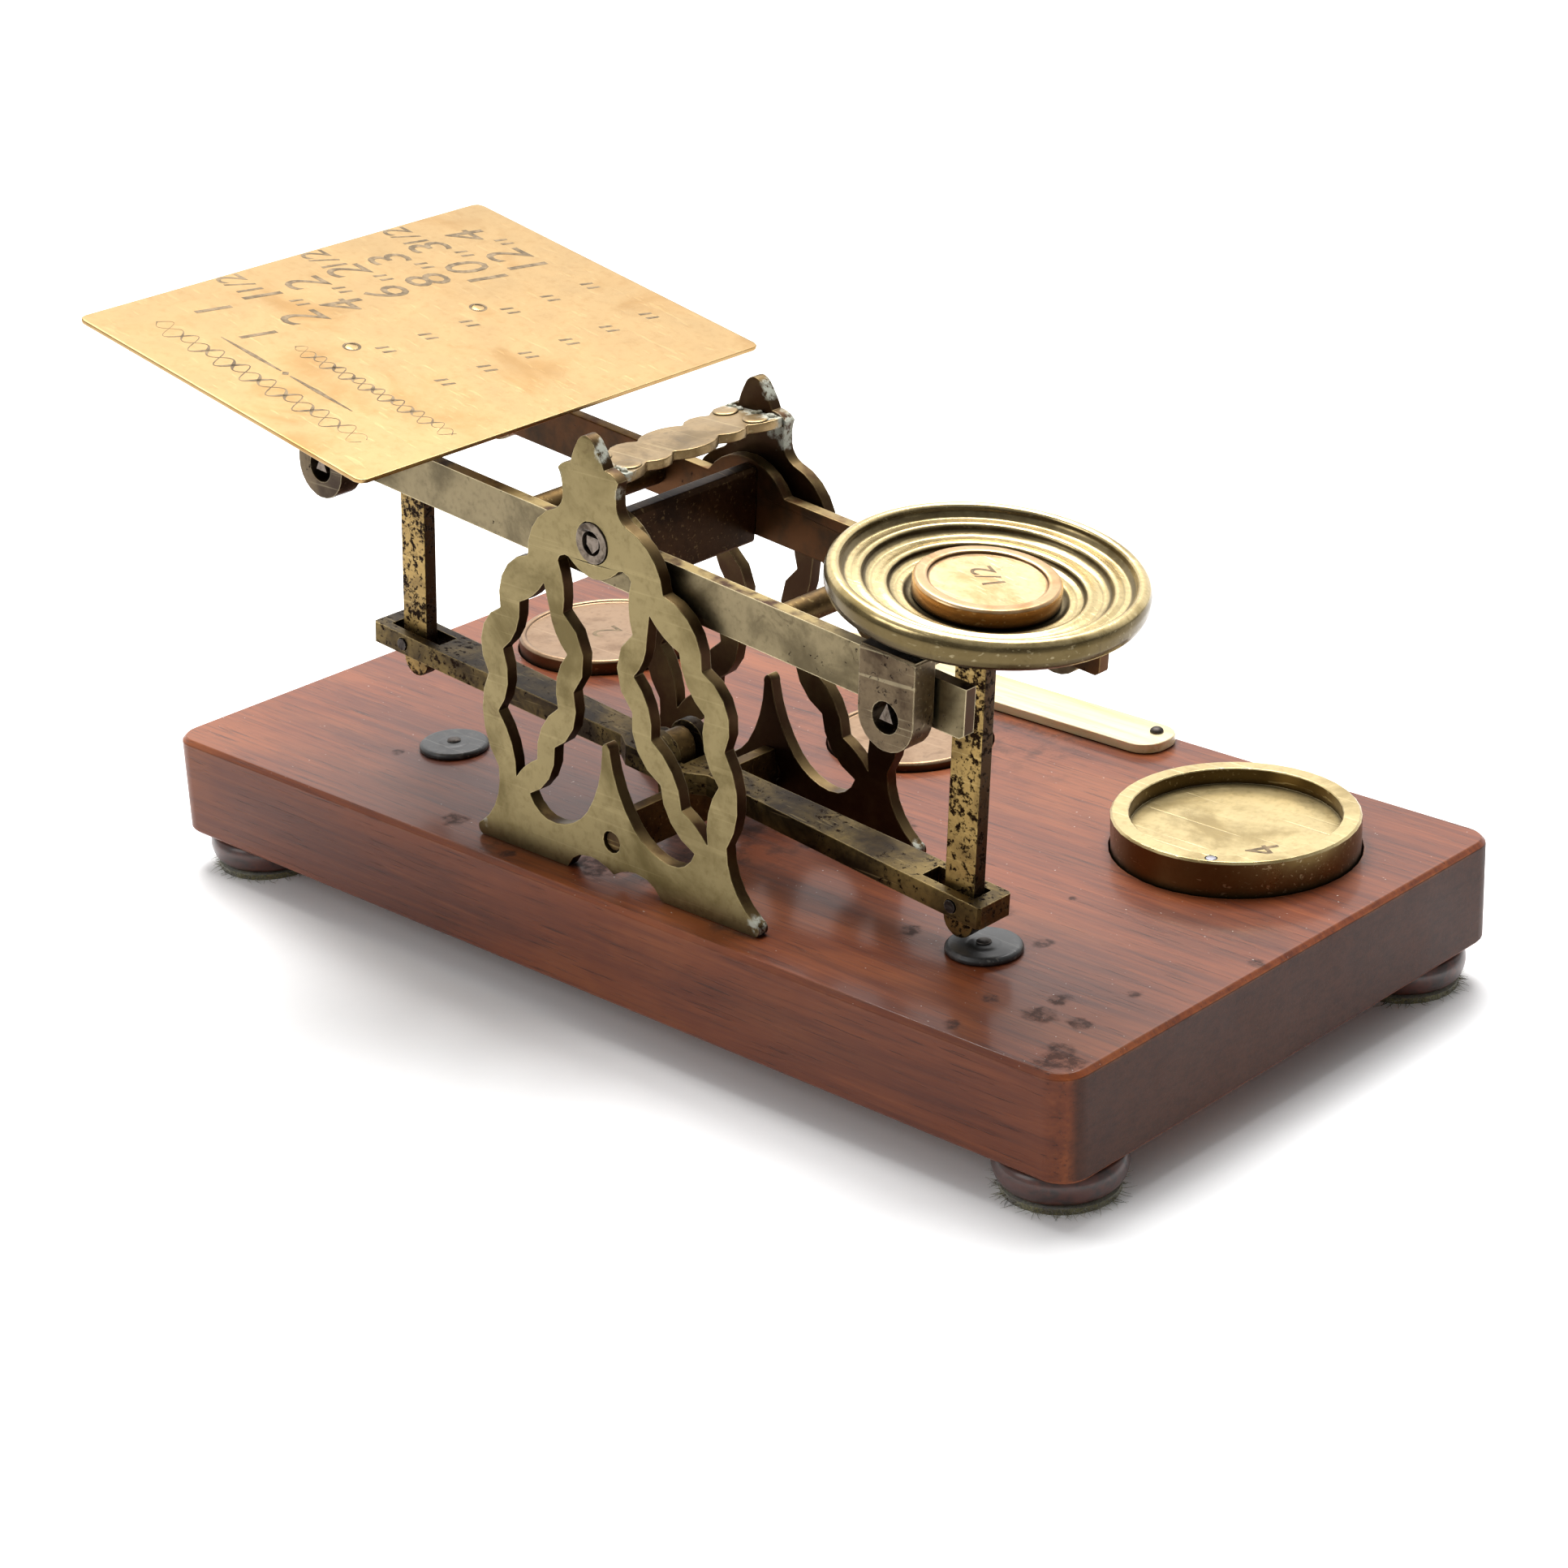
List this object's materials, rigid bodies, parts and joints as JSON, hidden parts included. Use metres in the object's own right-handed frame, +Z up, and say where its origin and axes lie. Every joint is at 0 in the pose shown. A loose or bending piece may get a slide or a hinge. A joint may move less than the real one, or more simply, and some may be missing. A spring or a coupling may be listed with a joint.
{
  "type": "letter scale",
  "caption": "Brass equal-arm letter scale: a beam between two fretted side frames carries a letter plate and a weight pan, on a wooden board with loose disc weights.",
  "frame": {"origin": "centre of the whole outline, on the ground under the felt pads", "axes": "+X along the board towards the weight pan, +Y to the back where the loose weights stand, +Z up"},
  "size_m": [0.23, 0.1422, 0.1216],
  "materials": {
    "mahogany": "polished, worn",
    "dark_wood": "dark stained",
    "felt": "frayed felt",
    "frame_brass": "cast, patinated",
    "dark_brass": "tarnished",
    "beam_brass": "tarnished",
    "yoke_brass": "tarnished, worn",
    "stem_brass": "pitted",
    "stay_brass": "blackened",
    "plate_brass": "satin",
    "pan_brass": "satin, dark in the grooves",
    "weight_brass": "handled",
    "steel": "dull",
    "black_iron": "matt black",
    "lead": "dull grey",
    "bone": "polished bone"
  },
  "bodies": {
    "base": {"wooden_base": "mahogany", "bun_foot_front_left": "dark_wood", "bun_foot_front_right": "dark_wood", "bun_foot_rear_left": "dark_wood", "bun_foot_rear_right": "dark_wood", "felt_pad_front_left": "felt", "felt_pad_front_right": "felt", "felt_pad_rear_left": "felt", "felt_pad_rear_right": "felt", "stop_disc_plate_side": "black_iron", "stop_disc_pan_side": "black_iron", "stop_nail_plate_side": "black_iron", "stop_nail_pan_side": "black_iron", "front_frame": "frame_brass", "rear_frame": "frame_brass", "front_bearing": "steel", "rear_bearing": "steel", "top_brace": "frame_brass", "brace_rivet_front_left": "dark_brass", "brace_rivet_front_right": "dark_brass", "brace_rivet_rear_left": "dark_brass", "brace_rivet_rear_right": "dark_brass", "lower_cross_bar": "dark_brass", "cross_bar_screw_front": "dark_brass", "cross_bar_screw_rear": "dark_brass", "stay_pivot_pin": "steel", "bone_plaque": "bone", "plaque_pin_left": "black_iron", "plaque_pin_right": "black_iron"},
    "beam": {"beam_front_bar": "beam_brass", "beam_rear_bar": "beam_brass", "beam_centre_plate": "beam_brass", "beam_cross_rod_plate_side": "beam_brass", "beam_cross_rod_pan_side": "beam_brass", "fulcrum_knife_front": "steel", "fulcrum_knife_rear": "steel", "plate_end_knife_front": "steel", "plate_end_knife_rear": "steel", "pan_end_knife_front": "steel", "pan_end_knife_rear": "steel"},
    "stay": {"stay_bar": "stay_brass", "stay_pin_plate_side": "steel", "stay_pin_pan_side": "steel"},
    "plate_carrier": {"letter_plate_yoke": "yoke_brass", "letter_plate_stem": "stem_brass", "letter_plate": "plate_brass", "letter_plate_rivet_front": "plate_brass", "letter_plate_rivet_rear": "plate_brass"},
    "pan_carrier": {"pan_yoke": "yoke_brass", "pan_stem": "stem_brass", "weight_pan": "pan_brass", "pan_rivet": "pan_brass"},
    "four_ounce": {"weight_four_ounce": "weight_brass", "lead_plug": "lead"},
    "two_ounce": {"weight_two_ounce": "weight_brass"},
    "one_ounce": {"weight_one_ounce": "weight_brass"},
    "half_ounce": {"weight_half_ounce": "weight_brass"}
  },
  "joints": [
    {"name": "beam_tilt", "type": "hinge", "parent": "base", "child": "beam", "pos_m": [0.005, -0.022, 0.0908], "axis": [0, -1, 0], "range_deg": [0, 11.6]},
    {"name": "stay_tilt", "type": "hinge", "parent": "base", "child": "stay", "pos_m": [0.00115, -0.0231, 0.04677], "axis": [0, -1, 0], "range_deg": [0, 11.6]},
    {"name": "plate_carrier_hinge", "type": "hinge", "parent": "beam", "child": "plate_carrier", "pos_m": [-0.06489, -0.022, 0.09539], "axis": [0, -1, 0], "range_deg": [-11.6, 0]},
    {"name": "pan_carrier_hinge", "type": "hinge", "parent": "beam", "child": "pan_carrier", "pos_m": [0.07439, -0.022, 0.08124], "axis": [0, -1, 0], "range_deg": [-11.6, 0]},
    {"name": "four_ounce_lift", "type": "slide", "parent": "base", "child": "four_ounce", "axis": [0, 0, 1], "range_m": [0, 0.03]},
    {"name": "two_ounce_lift", "type": "slide", "parent": "base", "child": "two_ounce", "axis": [0, 0, 1], "range_m": [0, 0.03]},
    {"name": "one_ounce_lift", "type": "slide", "parent": "base", "child": "one_ounce", "axis": [0, 0, 1], "range_m": [0, 0.03]},
    {"name": "half_ounce_lift", "type": "slide", "parent": "pan_carrier", "child": "half_ounce", "axis": [0, 0, 1], "range_m": [0, 0.015]}
  ],
  "couplings": [
    {"joint": "stay_tilt", "follows": "beam_tilt", "ratio": 1},
    {"joint": "plate_carrier_hinge", "follows": "beam_tilt", "ratio": -1},
    {"joint": "pan_carrier_hinge", "follows": "beam_tilt", "ratio": -1}
  ]
}
